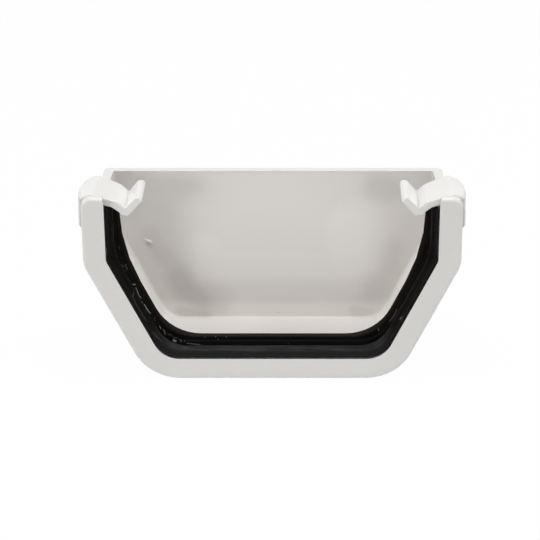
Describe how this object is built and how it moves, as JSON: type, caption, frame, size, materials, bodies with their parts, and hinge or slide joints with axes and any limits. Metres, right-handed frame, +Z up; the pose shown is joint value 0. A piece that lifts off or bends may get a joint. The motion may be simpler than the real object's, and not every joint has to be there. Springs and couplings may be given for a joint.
{
  "type": "gutter stop end",
  "caption": "Push-on stop end for a square-line rain gutter: a flanged socket with a closed back, a rubber lip seal round its mouth and a retaining clip over each side wall.",
  "frame": {"origin": "middle of the socket's inner back face, where the gutter's cut end stops", "axes": "+X across the gutter, +Y from the open mouth to the back wall, +Z up as the fitting hangs on the gutter"},
  "size_m": [0.1392, 0.037, 0.0733],
  "materials": {
    "white_plastic": "moulded white PVC with a soft gloss",
    "clip_plastic": "moulded white plastic with a soft gloss",
    "black_rubber": "smooth black rubber with a low sheen"
  },
  "bodies": {
    "root": {"body": "white_plastic", "seal": "black_rubber", "clip_left": "clip_plastic", "clip_right": "clip_plastic"}
  },
  "joints": []
}
